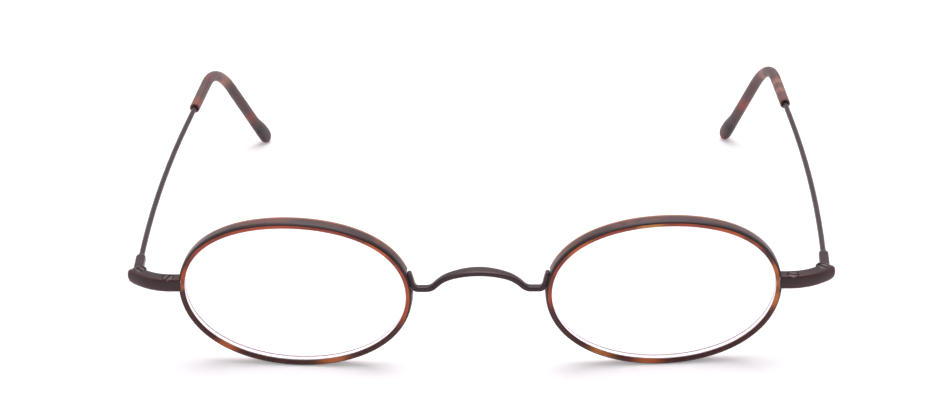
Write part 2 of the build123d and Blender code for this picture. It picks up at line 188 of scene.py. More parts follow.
floor_finish, tree, shader = blank_finish("pale floor")
set_inputs(tree, shader, {"Base Color": (0.92, 0.875, 0.915), "Roughness": 0.9, "Specular IOR Level": 0.0})
distance = tree.nodes.new("ShaderNodeVectorMath")
distance.operation = "LENGTH"
set_inputs(tree, distance, {0: tree.nodes.new("ShaderNodeTexCoord").outputs["Object"]})
glow_range = {"From Min": GLOW_FROM, "From Max": GLOW_TO, "To Min": GLOW_NEAR, "To Max": GLOW_FAR}
away = new_node(tree, "ShaderNodeMapRange", {"Value": distance.outputs["Value"], **glow_range})
glow = new_node(tree, "ShaderNodeEmission", {"Strength": away.outputs[0]})
brighter = new_node(tree, "ShaderNodeAddShader", {0: shader.outputs[0], 1: glow.outputs[0]})
surface = seen_or_lit(tree, shader.outputs[0], brighter.outputs[0])
set_inputs(tree, tree.nodes["Material Output"], {"Surface": surface})
floor_corners = [(x * FLOOR_HALF, y * FLOOR_HALF, 0.0) for x, y in ((-1, -1), (1, -1), (1, 1), (-1, 1))]
floor = flat_sheet("floor", floor_corners, floor_finish)
print("floor:", 2 * FLOOR_HALF, "m wide")

# %% [markdown]
# A photographer stands a dark card in front of dull dark metal. The card isn't in the picture: the camera
# looks through it, and so do the lenses, and it casts no shadow. The metal reflects it, which draws the dark
# band along every front edge.

# %% Dark card
CARD_HALF_WIDTH, CARD_LOW, CARD_HIGH, CARD_BACK = 0.9, 0.02, 0.62, -0.85
card_finish, tree, shader = blank_finish("dark card")
set_inputs(tree, shader, {"Base Color": (0.02, 0.02, 0.02), "Roughness": 1.0})
card_corners = [
    (-CARD_HALF_WIDTH, CARD_BACK, CARD_HIGH),
    (CARD_HALF_WIDTH, CARD_BACK, CARD_HIGH),
    (CARD_HALF_WIDTH, CARD_BACK, CARD_LOW),
    (-CARD_HALF_WIDTH, CARD_BACK, CARD_LOW),
]
card = flat_sheet("dark card", card_corners, card_finish)
card.visible_camera = False
card.visible_transmission = False
card.visible_shadow = False
print("card from", CARD_LOW, "to", CARD_HIGH, "m above the floor")

# %% [markdown]
# Both plastics are cut from mottled sheet: dark brown clouds over a clear amber. One noise gives the clouds
# and a much finer one gives the grain. The group puts out two masks, and each plastic colours them itself.

# %% Mottle group
def noise(tree, scale, detail=3.0):
    """A noise on Object coordinates; returns its value socket."""
    place = tree.nodes.new("ShaderNodeTexCoord").outputs["Object"]
    texture = new_node(tree, "ShaderNodeTexNoise", {"Vector": place, "Scale": scale, "Detail": detail})
    return texture.outputs["Fac"]


mottle = bpy.data.node_groups.new("mottled sheet", "ShaderNodeTree")
for label, value in {"Cloud Scale": 90.0, "Cloud Edge": 0.5, "Softness": 0.12}.items():
    socket = mottle.interface.new_socket(label, in_out="INPUT", socket_type="NodeSocketFloat")
    socket.default_value = value
for label in ("Amber", "Grain"):
    mottle.interface.new_socket(label, in_out="OUTPUT", socket_type="NodeSocketFloat")
given = mottle.nodes.new("NodeGroupInput")
clouds = noise(mottle, 1.0).node
set_inputs(mottle, clouds, {"Scale": given.outputs["Cloud Scale"], "Roughness": 0.6, "Distortion": 0.8})
amber_range = {}
for label, operation in (("From Min", "SUBTRACT"), ("From Max", "ADD")):
    edge = new_node(mottle, "ShaderNodeMath", {0: given.outputs["Cloud Edge"], 1: given.outputs["Softness"]})
    edge.operation = operation
    amber_range[label] = edge.outputs[0]
amber = new_node(mottle, "ShaderNodeMapRange", {"Value": clouds.outputs["Fac"], **amber_range})
amber.interpolation_type = "SMOOTHSTEP"
masks = {"Amber": amber.outputs[0], "Grain": noise(mottle, 2600.0, 2.0)}
set_inputs(mottle, mottle.nodes.new("NodeGroupOutput"), masks)
print("group sockets:", [item.name for item in mottle.interface.items_tree])

# %% [markdown]
# The metal is steel with a thin dark brown coating, dull from fine blasting. A fine noise varies its shine
# and bumps it; a slow noise shifts its colour between brown and grey, as handling does. Long edges are a
# redder brown, where the skin carries a mark for it. The screws and eyewires are the same, but paler.

# %% Metal and screw finishes
def ramp(tree, value, stops):
    """A colour ramp through (place, colour) stops, fed by a value socket; returns its colour socket."""
    node = new_node(tree, "ShaderNodeValToRGB", {"Fac": value})
    while len(node.color_ramp.elements) < len(stops):
        node.color_ramp.elements.new(0.5)
    for element, (place, colour) in zip(node.color_ramp.elements, stops):
        element.position = place
        element.color = (*colour, 1.0)
    return node.outputs["Color"]


def spread(tree, value, low, high):
    """The value socket's 0..1 mapped onto low..high."""
    return new_node(tree, "ShaderNodeMapRange", {"Value": value, "To Min": low, "To Max": high}).outputs[0]


def bump(tree, height, distance, strength):
    """A bump from a height socket; returns its normal socket."""
    inputs = {"Height": height, "Distance": distance, "Strength": strength}
    return new_node(tree, "ShaderNodeBump", inputs).outputs["Normal"]


def mixed(tree, factor, first, second):
    """Colour that goes from the first to the second as the factor goes from 0 to 1."""
    node = tree.nodes.new("ShaderNodeMix")
    node.data_type = "RGBA"
    set_inputs(tree, node, {0: factor, 6: first, 7: second})
    return node.outputs[2]


def mark(tree, name):
    """A point mark of the piece's mesh; where a mesh has none, it is 0."""
    node = tree.nodes.new("ShaderNodeAttribute")
    node.attribute_name = name
    return node.outputs["Fac"]


def coated_metal(name, dark, light, edge_red, rough_low, rough_high):
    """Dull coated metal between two colours, with a blasted surface and redder long edges."""
    finish, tree, shader = blank_finish(name)
    blasting = noise(tree, 9000.0, 2.0)
    coat = ramp(tree, noise(tree, 160.0), [(0.35, dark), (0.65, light)])
    inputs = {
        "Base Color": mixed(tree, mark(tree, "edge"), coat, edge_red),
        "Roughness": spread(tree, blasting, rough_low, rough_high),
        "Normal": bump(tree, blasting, 0.02 * MM, 0.25),
        "Metallic": 0.35,
        "Specular IOR Level": 0.56,
        "Specular Tint": (1.0, 0.84, 0.87),
    }
    set_inputs(tree, shader, inputs)
    return finish


dark_metal = coated_metal(
    "dark brown coated metal", (0.022, 0.010, 0.011), (0.038, 0.019, 0.021), (0.10, 0.026, 0.022), 0.28, 0.38
)
screw_metal = coated_metal(
    "darkened screw metal", (0.060, 0.040, 0.042), (0.095, 0.070, 0.070), (0.1, 0.05, 0.05), 0.28, 0.38
)
groove_metal = coated_metal(
    "bare eyewire metal", (0.42, 0.36, 0.38), (0.56, 0.50, 0.52), (0.5, 0.4, 0.4), 0.30, 0.42
)
print("metals:", [finish.name for finish in (dark_metal, screw_metal, groove_metal)])

# %% [markdown]
# The rim covers are satin. Their finish follows the section, by two marks that hold each point's place in
# it, and much of it is painted light and shade: the front lip has a painted glow, red to gold, where light
# comes through, and the amber clouds of the wall take some of it; a near-black line of painted shade runs
# outside the lip and fades into the painted shade on the front of the wall; the rear corner has a thin
# orange-brown line of painted light; and the inner side of the rear lip is painted pale, as if lit by the
# bright edge of the lens that it stands against.

# %% Rim cover finish
def between(tree, value, start, end):
    """A soft step of a value: 0 at the start and before it, 1 at the end and past it."""
    node = new_node(tree, "ShaderNodeMapRange", {"Value": value, "From Min": start, "From Max": end})
    node.interpolation_type = "SMOOTHSTEP"
    return node.outputs[0]


def product(tree, first, second):
    """Two values multiplied."""
    node = new_node(tree, "ShaderNodeMath", {0: first, 1: second})
    node.operation = "MULTIPLY"
    return node.outputs[0]


def mottle_sheet(tree, scale, edge, softness):
    """The mottled sheet group placed in a material."""
    sheet = tree.nodes.new("ShaderNodeGroup")
    sheet.node_tree = mottle
    set_inputs(tree, sheet, {"Cloud Scale": scale, "Cloud Edge": edge, "Softness": softness})
    return sheet


rim_plastic, tree, shader = blank_finish("mottled rim plastic")
sheet = mottle_sheet(tree, 110.0, 0.52, 0.16)
outward, backward = mark(tree, "outward"), mark(tree, "backward")
# Painted glow, where light comes through the clear plastic, and how gold that painted light is.
glow, gold = mark(tree, "glow"), mark(tree, "gold")
front_side = between(tree, backward, -1.05, -1.30)
lip = product(tree, front_side, between(tree, outward, 0.34, 0.24))
# Painted shade: a near-black line on the front corner, just outside the lip.
painted_shade_line = product(tree, front_side, between(tree, outward, 0.24, 0.34))
# Painted light: a thin orange-brown line along the rear corner.
painted_light_rear_line = product(tree, between(tree, backward, 0.60, 0.86), between(tree, outward, 0.30, 0.44))
# Painted shade over the front of the wall, which fades into that line.
front_shade = product(tree, between(tree, backward, -0.60, -1.15), between(tree, outward, 0.10, 0.30))
# Painted light: the inner side of the rear lip is pale, as if lit by the lens's bright edge.
painted_light_rear_lip = product(tree, between(tree, backward, 0.40, 0.60), between(tree, outward, -0.20, -0.40))
body = ramp(tree, sheet.outputs["Amber"], [(0.0, (0.048, 0.025, 0.029)), (1.0, (0.096, 0.038, 0.040))])
# The amber clouds take the painted glow.
body = mixed(tree, product(tree, glow, sheet.outputs["Amber"]), body, (0.17, 0.060, 0.045))
# Painted light and shade laid over the body in turn: pale rear lip, shaded front, near-black line, rear
# line.
body = mixed(tree, painted_light_rear_lip, body, (0.52, 0.36, 0.38))
body = mixed(tree, front_shade, body, (0.019, 0.008, 0.009))
body = mixed(tree, painted_shade_line, body, (0.015, 0.006, 0.007))
body = mixed(tree, painted_light_rear_line, body, (0.38, 0.128, 0.055))
# The lip's painted glow goes from red to gold; where there is none the lip stays dark.
red_to_gold = [(0.0, (0.48, 0.060, 0.034)), (0.5, (0.60, 0.140, 0.034)), (1.0, (0.58, 0.27, 0.060))]
painted_glow_lip = mixed(tree, between(tree, glow, 0.0, 0.85), (0.070, 0.020, 0.018), ramp(tree, gold, red_to_gold))
rim_inputs = {
    "Base Color": mixed(tree, lip, body, painted_glow_lip),
    "Roughness": spread(tree, sheet.outputs["Grain"], 0.30, 0.42),
    "Normal": bump(tree, sheet.outputs["Grain"], 0.02 * MM, 0.2),
    "Specular IOR Level": 0.36,
    "Specular Tint": (1.0, 0.86, 0.90),
}
set_inputs(tree, shader, rim_inputs)
print("nodes in the rim's finish:", len(tree.nodes))

# %% [markdown]
# The ear tips are the same sheet with a matte skin, coloured by warm, red and dark marks along the sleeve.
# The lenses are clear, with a faint unevenness from wiping. Their ground edge is frosted and has a pale
# finish of its own. It also gives a little light, because what reaches it through the glass in a real lens
# takes more bounces than a render can follow without noise.

# %% Tip and lens finishes
tip_plastic, tree, shader = blank_finish("mottled tip plastic")
sheet = mottle_sheet(tree, 90.0, 0.50, 0.2)
body = ramp(tree, sheet.outputs["Amber"], [(0.0, (0.066, 0.035, 0.039)), (1.0, (0.120, 0.053, 0.051))])
body = mixed(tree, mark(tree, "warm"), body, (0.46, 0.190, 0.130))
body = mixed(tree, mark(tree, "red"), body, (0.32, 0.062, 0.042))
tip_inputs = {
    "Base Color": mixed(tree, mark(tree, "dark"), body, (0.012, 0.007, 0.011)),
    "Roughness": spread(tree, sheet.outputs["Grain"], 0.44, 0.58),
    "Normal": bump(tree, sheet.outputs["Grain"], 0.03 * MM, 0.3),
}
set_inputs(tree, shader, tip_inputs)
lens_clear, tree, shader = blank_finish("clear lens")
lens_inputs = {
    "Base Color": (0.985, 0.985, 0.99),
    "Transmission Weight": 1.0,
    "IOR": 1.5,
    "Roughness": spread(tree, noise(tree, 60.0), 0.0, 0.012),
}
set_inputs(tree, shader, lens_inputs)
ground_edge, tree, shader = blank_finish("ground lens edge")
grinding = noise(tree, 900.0)
edge_inputs = {
    "Base Color": ramp(tree, grinding, [(0.0, (0.80, 0.74, 0.79)), (1.0, (0.90, 0.87, 0.90))]),
    "Roughness": spread(tree, grinding, 0.5, 0.7),
    "Emission Color": (0.93, 0.86, 0.92),
    "Emission Strength": 0.72,
}
set_inputs(tree, shader, edge_inputs)
print("finishes so far:", len(bpy.data.materials))

# %% [markdown]
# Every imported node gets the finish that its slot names. The eyewires share a slot with the dark metal, but
# they stay bare inside their covers, where a pale metal brightens the edge of the lens.

# %% Dress the nodes
finishes = {
    "dark_metal": dark_metal,
    "screw_metal": screw_metal,
    "tortoise": rim_plastic,
    "tip_tortoise": tip_plastic,
    "clear_lens": lens_clear,
}
slot_of = {part["node"]: part["material_slot"] for part in frame["record"]["subparts"]}
for name, node in nodes.items():
    node.data.materials.clear()
    node.data.materials.append(groove_metal if "eyewire" in name else finishes[slot_of[name]])
print("dressed:", len(nodes))

# %% [markdown]
# Covers, lenses, ear tips, endpieces, screws and bridge carry the look of the real glasses: crowned skins,
# crisp edges and colours that follow the part. They are worked out again as smooth surfaces from the
# drawing's own measurements, in millimetres as the glasses are worn, and then tilted and lifted onto the
# table. Paired pieces are worked out for the left side, and the right one is the mirror image.

# %% The drawing's frame
STAND_TILT = np.radians(5.508819)
STAND_BACK = -60.486
STAND_UP = 15.7717
SIDES = {"left": 1.0, "right": -1.0}


def stood(points):
    """Drawn points put on the table: tilted about X by the stand's angle, shifted, turned into metres."""
    across, back, up = np.moveaxis(points, -1, 0)
    lean, rise = np.cos(STAND_TILT), np.sin(STAND_TILT)
    placed = [across, back * lean - up * rise + STAND_BACK, back * rise + up * lean + STAND_UP]
    return np.stack(placed, axis=-1) * MM


def unit(vectors):
    """Each vector divided by its own length."""
    return vectors / np.linalg.norm(vectors, axis=-1, keepdims=True)


def carried(line, across, across_axis, along, along_axis):
    """A profile carried along a line: each of its points plus two offsets along two directions."""
    return line[:, None] + across[..., None] * across_axis[:, None] + along[..., None] * along_axis[:, None]


def bell(apart, width, strength):
    """A bell curve: the strength at no distance, falling off with the square of distance over width."""
    return strength * np.exp(-((apart / width) ** 2))


print("the drawing's origin stands at", stood(np.zeros(3)).round(5))

# %% [markdown]
# Every new skin is a stack of rings, each with the same number of points. Neighbouring rings are joined by
# four-sided faces, and the ends are closed or joined to each other. The sum over the faces of the middle's
# dot product with the area vector is three times the volume, and its sign says whether they point outwards.

# %% Skin through rings
def skin_faces(rings, first, loop):
    """Quads between neighbouring rings and a face on each open end, turned so that they point outwards."""
    count, around = rings.shape[:2]
    ring = np.arange(count if loop else count - 1)[:, None]
    point = np.arange(around)[None, :]
    beside, ahead = (point + 1) % around, (ring + 1) % count
    here, there = ring * around, ahead * around
    quads = np.stack([here + point, here + beside, there + beside, there + point], axis=-1).reshape(-1, 4)
    corner = rings.reshape(-1, 3)[quads]
    area = np.cross(corner[:, 2] - corner[:, 0], corner[:, 3] - corner[:, 1]) / 2
    volume = np.sum(corner.mean(axis=1) * area)
    faces = quads.tolist()
    if not loop:
        faces += [list(range(around))[::-1], list(range((count - 1) * around, count * around))]
    if volume < 0:
        faces = [face[::-1] for face in faces]
    return [[corner_index + first for corner_index in face] for face in faces]


def skin_piece(replaced, shells, body="front", sharp_angle=38.0, marks=None, loop=False):
    """The piece that replaces a node: stacks of rings in drawing millimetres, with marks for its finish."""
    name, slot = replaced + "_skin", slot_of[replaced]
    points, faces = [], []
    for rings in shells:
        faces += skin_faces(rings, sum(len(part) for part in points), loop)
        points.append(rings.reshape(-1, 3))
    mesh = bpy.data.meshes.new(name)
    mesh.from_pydata(stood(np.concatenate(points)).tolist(), [], faces)
    for label, values in (marks or {}).items():
        point_mark = mesh.attributes.new(label, "FLOAT", "POINT")
        point_mark.data.foreach_set("value", np.asarray(values, dtype=np.float32).ravel())
    shell = bmesh.new()
    shell.from_mesh(mesh)
    bmesh.ops.remove_doubles(shell, verts=shell.verts, dist=1e-7)
    bmesh.ops.dissolve_degenerate(shell, edges=shell.edges, dist=1e-8)
    shell.to_mesh(mesh)
    shell.free()
    mesh.shade_smooth()
    mesh.set_sharp_from_angle(angle=np.radians(sharp_angle))
    piece = linked(name, mesh)
    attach(piece, body)
    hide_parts(replaced)
    mesh.materials.append(finishes[slot])
    print(name, "faces:", len(mesh.polygons))
    return piece


# %% [markdown]
# The rim is an oval that is a little fuller than an ellipse: a share of the third harmonic is added to the
# cosine and the sine. It lies on the lens's front sphere, in a plane turned back by the face wrap.

# %% The rim's line
LENS_WIDTH = 44.0
LENS_ABOVE, LENS_BELOW = 14.95, 15.15
LENS_CENTRE = 35.5
FULLNESS = 0.0095
FACE_WRAP = np.radians(4.1)
BASE_CURVE = 136.0
LENS_ACROSS = np.array([np.cos(FACE_WRAP), np.sin(FACE_WRAP), 0.0])
LENS_FORWARD = np.array([np.sin(FACE_WRAP), -np.cos(FACE_WRAP), 0.0])
UPRIGHT = np.array([0.0, 0.0, 1.0])


def rim_line(turn, outside=0.0):
    """Points of the left lens's outline: turn 0 is at the temple, a quarter turn at the top."""
    height = np.where(np.sin(turn) > 0, LENS_ABOVE, LENS_BELOW) + outside
    across = (LENS_WIDTH / 2 + outside) * ((1 + FULLNESS) * np.cos(turn) - FULLNESS * np.cos(3 * turn))
    up = height * ((1 + FULLNESS) * np.sin(turn) + FULLNESS * np.sin(3 * turn))
    back = BASE_CURVE - np.sqrt(BASE_CURVE**2 - across**2 - up**2)
    centre = np.array([LENS_CENTRE, 0.0, 0.0])
    return centre + across[:, None] * LENS_ACROSS + up[:, None] * UPRIGHT - back[:, None] * LENS_FORWARD


def rim_frame(turn):
    """The rim's points with their outward and backward directions, square to the line."""
    step = 1e-4
    along = unit(rim_line(turn + step) - rim_line(turn - step))
    outward = -unit(np.cross(LENS_FORWARD, along))
    return rim_line(turn), outward, np.cross(along, outward)


print("a lens is", LENS_WIDTH, "by", LENS_ABOVE + LENS_BELOW, "mm")

# %% [markdown]
# A rim cover is a thin plastic channel that snaps over the metal eyewire. Its section has a flat lip on each
# side of the lens, bevelled towards it, and rounded outer corners. Where the endpiece and the bridge's foot
# reach the eyewire the wall is cut away down to the lips' roots, and two rings at one place make the step.
# The front corner is a quarter of an ellipse, so that the wall bends back slowly and catches the light.

# %% Rim cover section
COVER_OUTSIDE = 0.72
COVER_INSIDE = 0.48
COVER_HALF = 1.5
COVER_CORNER = 0.42
FRONT_ROUND = (0.46, 0.95)
CHANNEL_BOTTOM = 0.42
CHANNEL_HALF = 1.05
NOTCH_ROOT = 0.2
LIP_BEVEL = (0.34, 0.26)
TEMPLE_NOTCH_HEIGHTS = (-0.975, 2.015)
NOSE_NOTCH_HEIGHTS = (4.67, 0.33)


def arc(centre, radii, angle):
    """Points on an ellipse: its centre plus its radii times the cosine and the sine of the angle."""
    return np.array(centre) + np.stack([radii[0] * np.cos(angle), radii[1] * np.sin(angle)], axis=-1)


def cover_section():
    """Closed outline of (outward, backward) pairs, from the front lip over the wall to the back lip."""
    lip_out, lip_back = LIP_BEVEL
    front_lip = np.array([[-COVER_INSIDE, lip_back - COVER_HALF], [lip_out - COVER_INSIDE, -COVER_HALF]])
    back_lip = (front_lip * [1, -1])[::-1]
    out_round, back_round = FRONT_ROUND
    split = np.arcsin((CHANNEL_HALF - COVER_HALF + back_round) / back_round)
    over_lip, over_channel = np.linspace(-np.pi / 2, -split, 9), np.linspace(-split, 0.0, 7)
    front_bend = np.concatenate([over_lip, over_channel])
    front_corner = arc((COVER_OUTSIDE - out_round, back_round - COVER_HALF), FRONT_ROUND, front_bend)
    back_centre = (COVER_OUTSIDE - COVER_CORNER, COVER_HALF - COVER_CORNER)
    back_corner = arc(back_centre, (COVER_CORNER, COVER_CORNER), np.linspace(0.0, np.pi / 2, 8))
    channel = np.array([[-COVER_INSIDE, CHANNEL_HALF], [CHANNEL_BOTTOM, CHANNEL_HALF]])
    channel = np.concatenate([channel, (channel * [1, -1])[::-1]])
    section = np.concatenate([front_lip, front_corner, back_corner, back_lip, channel])
    behind_front = np.arange(len(section)) >= len(front_lip) + len(over_lip)
    return section, behind_front


def turn_at_height(low, high, height):
    """The turn between two turns at which the rim's line is at a given height, by interpolation."""
    turns = np.linspace(low, high, 400)
    heights = rim_line(turns, 0.5)[:, 2]
    order = np.argsort(heights)
    return np.interp(height, heights[order], turns[order])


section, behind_front = cover_section()
TEMPLE_NOTCH = [turn_at_height(-0.4, 0.4, height) for height in TEMPLE_NOTCH_HEIGHTS]
NOSE_NOTCH = [turn_at_height(np.pi - 0.6, np.pi + 0.4, height) for height in NOSE_NOTCH_HEIGHTS]
print("notches in degrees:", np.degrees(TEMPLE_NOTCH + NOSE_NOTCH).round(1))


def cover_rings():
    """Rings round the whole rim, from one end of the temple notch; the notches press the wall down."""
    temple_low, temple_high = TEMPLE_NOTCH
    nose_low, nose_high = NOSE_NOTCH
    stretches = [
        (temple_low, temple_high, 24, "temple"),
        (temple_high, nose_low, 280, "whole"),
        (nose_low, nose_high, 30, "nose"),
        (nose_high, temple_low + 2 * np.pi, 280, "whole"),
    ]
    turns = np.concatenate([np.linspace(low, high, count) for low, high, count, kind in stretches])
    kinds = np.concatenate([np.full(count, kind) for low, high, count, kind in stretches])
    outward_part = np.tile(section[:, 0], (len(turns), 1))
    pressed = np.minimum(outward_part, NOTCH_ROOT)
    cut = (kinds == "temple")[:, None] | ((kinds == "nose")[:, None] & behind_front[None, :])
    outward_part = np.where(cut, pressed, outward_part)
    backward_part = np.tile(section[:, 1], (len(turns), 1))
    place, outward, backward = rim_frame(turns)
    rings = carried(place, outward_part, outward, backward_part, backward)
    return rings, turns, outward_part, backward_part


# %% [markdown]
# The plastic is thin enough to glow where it is clear, and that glow is painted into its colour. Each patch
# is written as its turn in degrees, its half-width, how strongly the painted glow shows and how yellow it
# is; a sum of bell curves of the turn puts them together as point marks that the finish reads.

# %% Rim covers
PAINTED_GLOW_PATCHES = {
    "right": [
        (2, 3, 0.45, 0.85), (12, 7, 0.75, 0.15), (38, 16, 0.60, 0.10), (62, 9, 0.45, 0.05),
        (82, 15, 0.85, 0.20), (112, 14, 0.55, 0.05), (138, 9, 0.95, 0.40), (158, 10, 0.55, 0.10),
        (178, 12, 0.80, 0.25), (196, 9, 0.60, 0.15), (252, 8, 0.80, 0.55), (308, 7, 0.75, 0.45),
    ],
    "left": [
        (3, 4, 0.60, 0.75), (14, 7, 0.75, 0.50), (38, 6, 0.45, 0.30), (57, 10, 0.95, 0.35),
        (80, 10, 0.65, 0.20), (97, 6, 1.00, 0.95), (115, 12, 0.55, 0.15), (137, 9, 0.90, 0.45),
        (158, 10, 0.50, 0.10), (180, 10, 0.70, 0.15), (237, 8, 0.70, 0.70), (262, 8, 0.70, 0.45),
        (350, 8, 0.85, 0.65),
    ],
}


def glow_marks(turns, patches):
    """Painted glow and its gold at each turn: bell curves of its distance from each patch, the short way
    round.
    """
    middle, width, strength, gold = np.array(patches, dtype=float).T
    bells = bell((np.degrees(turns)[:, None] - middle + 180.0) % 360.0 - 180.0, width, strength)
    total = bells.sum(axis=1)
    return np.minimum(total, 1.0), (bells * gold).sum(axis=1) / np.maximum(total, 1e-6)


for side, mirror in SIDES.items():
    rings, turns, outward_part, backward_part = cover_rings()
    glow, gold = glow_marks(turns, PAINTED_GLOW_PATCHES[side])
    around = np.ones(len(section))
    marks = {"outward": outward_part, "backward": backward_part}
    marks.update(glow=glow[:, None] * around, gold=gold[:, None] * around)
    skin_piece(f"{side}_rim_cover", [rings * [mirror, 1, 1]], marks=marks, loop=True)

# %% [markdown]
# A lens is a thin shell between two spheres about one centre. Its edge is ground to a ridge that sits in
# the eyewire's groove, and a ground edge is frosted: it spreads the light that reaches it through the lens
# and so shows as a thin pale line. Rings run out over the front, down over the ridge and back in over the
# rear. The faces whose points all carry the ground mark get the pale finish of the ground edge.

# %% Lenses
LENS_THICKNESS = 1.6
RIDGE_HEIGHT, RIDGE_HALF = 0.5, 0.08


def lens_rings():
    """Outlines scaled from the middle to the edge, on the two spheres, with the ridge between; its mark."""
    turns = np.linspace(0, 2 * np.pi, 256, endpoint=False)
    shares = np.sin(np.linspace(0.01, 1.0, 24) * np.pi / 2)
    edge = rim_line(turns, -RIDGE_HEIGHT) - [LENS_CENTRE, 0, 0]
    across, up = edge @ LENS_ACROSS, edge[:, 2]
    reach = shares[:, None] ** 2 * (across**2 + up**2)
    front = LENS_THICKNESS / 2 - BASE_CURVE + np.sqrt(BASE_CURVE**2 - reach)
    rear = LENS_THICKNESS / 2 - BASE_CURVE + np.sqrt((BASE_CURVE - LENS_THICKNESS) ** 2 - reach)
    outline = across[:, None] * LENS_ACROSS + up[:, None] * UPRIGHT
    flat = shares[:, None, None] * outline + [LENS_CENTRE, 0, 0]
    over = flat + front[..., None] * LENS_FORWARD
    under = flat + rear[..., None] * LENS_FORWARD
    tip = rim_line(turns)
    ridge = np.stack([tip + RIDGE_HALF * LENS_FORWARD, tip - RIDGE_HALF * LENS_FORWARD])
    rings = np.concatenate([over, over[-1:], ridge, under[-1:], under[::-1]])
    ground = np.zeros(len(rings))
    ground[len(over) - 1 : len(rings) - len(under) + 1] = 1.0
    return rings, ground[:, None] * np.ones(len(turns))


def read(items, label, kind):
    """One value of every item of a mesh, as an array."""
    values = np.zeros(len(items), dtype=kind)
    items.foreach_get(label, values)
    return values


def use_ground_edge(mesh):
    """The second finish for the faces whose smallest ground mark is over a half."""
    ground = read(mesh.attributes["ground"].data, "value", np.float32)
    at_corners = ground[read(mesh.loops, "vertex_index", np.int32)]
    smallest = np.minimum.reduceat(at_corners, read(mesh.polygons, "loop_start", np.int32))
    mesh.polygons.foreach_set("material_index", (smallest > 0.5).astype(np.int32))
    print("ground faces:", int(np.sum(smallest > 0.5)))


for side, mirror in SIDES.items():
    rings, ground = lens_rings()
    lens = skin_piece(f"{side}_lens", [rings * [mirror, 1, 1]], sharp_angle=15.0, marks={"ground": ground})
    lens.data.materials.append(ground_edge)
    use_ground_edge(lens.data)

# %% [markdown]
# An ear tip is a plastic sleeve pushed over the wire and bent with it. Its line runs straight, round an arc
# and straight again. Each ring is an oval square to that line; the sleeve grows slowly, and its end swells
# to the back and closes in a rounded cap. The first rings go down into the mouth that takes the wire.

# %% Ear tips
TIP_CORNER = np.array([63.0674, 103.548, 0.52])
TEMPLE_HEADING = np.radians(4.8)
TEMPLE_ALONG = np.array([-np.sin(TEMPLE_HEADING), np.cos(TEMPLE_HEADING), 0.0])
EAR_INWARD, EAR_DROP = np.radians(15.0), np.radians(59.2)
LEG_ALONG = np.array(
    [-np.sin(EAR_INWARD), np.cos(EAR_INWARD) * np.cos(EAR_DROP), -np.cos(EAR_INWARD) * np.sin(EAR_DROP)]
)
EAR_BEND_RADIUS = 17.0
TIP_BEFORE_CORNER = 22.6
LEG_LENGTH = 33.8
SWELL_LENGTH, CAP_LENGTH = 7.2, 2.7
SLEEVE_RADII = (1.10, 1.225)
BULB_RADII = (1.85, 1.45)
EAR_BEND = np.arccos(TEMPLE_ALONG @ LEG_ALONG)
EAR_TANGENT = EAR_BEND_RADIUS * np.tan(EAR_BEND / 2)
FIRST_RUN = TIP_BEFORE_CORNER - EAR_TANGENT
TIP_LENGTH = FIRST_RUN + EAR_BEND_RADIUS * EAR_BEND + LEG_LENGTH - EAR_TANGENT
INTO_BEND = unit(LEG_ALONG - (LEG_ALONG @ TEMPLE_ALONG) * TEMPLE_ALONG)
BEND_AXIS = np.cross(TEMPLE_ALONG, INTO_BEND)


def tip_line(distance):
    """Centres and directions along the sleeve: the first run, the arc by its angle, then the leg."""
    angle = np.clip((distance - FIRST_RUN) / EAR_BEND_RADIUS, 0.0, EAR_BEND)[:, None]
    on_run = np.minimum(distance, FIRST_RUN)[:, None]
    on_leg = np.maximum(distance - FIRST_RUN - EAR_BEND_RADIUS * EAR_BEND, 0.0)[:, None]
    centre = TIP_CORNER + (on_run - TIP_BEFORE_CORNER) * TEMPLE_ALONG + on_leg * LEG_ALONG
    centre = centre + EAR_BEND_RADIUS * (np.sin(angle) * TEMPLE_ALONG + (1 - np.cos(angle)) * INTO_BEND)
    return centre, np.cos(angle) * TEMPLE_ALONG + np.sin(angle) * INTO_BEND


def tip_rings():
    """Rings from the bottom of the mouth, over its rim and along the sleeve to the end of the cap."""
    neck = TIP_LENGTH - SWELL_LENGTH - CAP_LENGTH
    mouth_at = np.array([0.8, 0.8, 0.05, 0.0, 0.0, 0.04, 0.12])
    mouth_radius = np.array([0.58, 0.72, 0.72, 0.76, 1.02, 1.08, 1.10])
    sleeve_at = np.linspace(0.3, neck, 150)
    thin, full = SLEEVE_RADII
    sleeve_radius = thin + (full - thin) * sleeve_at / neck
    swell = np.linspace(0.02, 1.0, 40)
    growth = np.sin(swell * np.pi / 2) ** 1.5
    cap = np.sin(np.linspace(0.05, 0.99, 22) * np.pi / 2)
    roundness = np.sqrt(1 - cap**2)
    swell_at = neck + swell * SWELL_LENGTH
    distance = np.concatenate([mouth_at, sleeve_at, swell_at, neck + SWELL_LENGTH + cap * CAP_LENGTH])
    wide, thick = [
        np.concatenate([mouth_radius, sleeve_radius, full + growth * (bulb - full), roundness * bulb])
        for bulb in BULB_RADII
    ]
    shift = full - np.maximum(wide, full)
    shift[-len(cap):] = full - BULB_RADII[0]
    centre, ahead = tip_line(distance)
    inward = unit(np.cross(BEND_AXIS, ahead))
    angle = np.linspace(0, 2 * np.pi, 40, endpoint=False)
    in_bend = wide[:, None] * np.cos(angle) + shift[:, None]
    across_bend = thick[:, None] * np.sin(angle)
    rings = carried(centre, in_bend, inward, across_bend, BEND_AXIS[None, :])
    return rings, distance / TIP_LENGTH, np.cos(angle)


